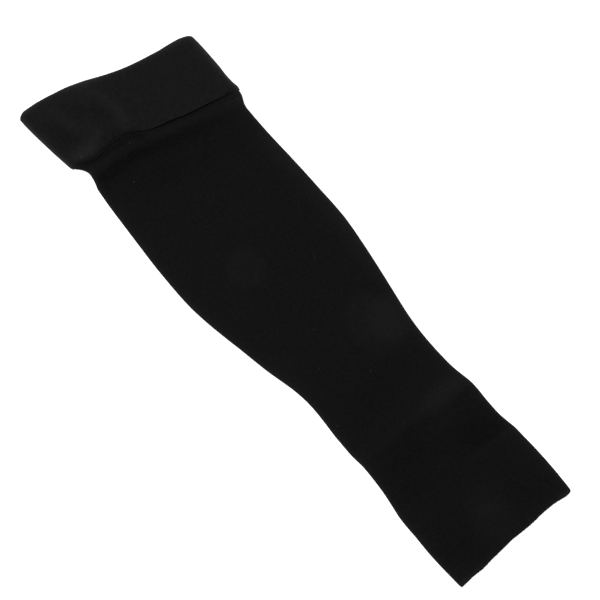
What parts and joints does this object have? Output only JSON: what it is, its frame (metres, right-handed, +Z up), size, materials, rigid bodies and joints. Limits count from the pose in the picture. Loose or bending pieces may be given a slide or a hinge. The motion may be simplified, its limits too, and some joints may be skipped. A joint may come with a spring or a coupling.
{
  "type": "arm compression sleeve",
  "caption": "Tapered knitted tube for an arm, open at wrist and upper arm, with a grip band turned down over its upper end, lying flat.",
  "frame": {"origin": "on the surface that the sleeve lies on, under the middle of the box that holds it", "axes": "+Y from the wrist edge to the upper-arm fold, +X across the flat sleeve, +Z up from the surface it lies on"},
  "size_m": [0.1188, 0.4194, 0.0133],
  "materials": {
    "arm_knit": "matt black fine compression knit of nylon over elastane",
    "band_knit": "matt black heavier elastic knit, a little lighter than the tube"
  },
  "bodies": {
    "root": {"arm_tube": "arm_knit", "turned_band": "band_knit"}
  },
  "joints": []
}
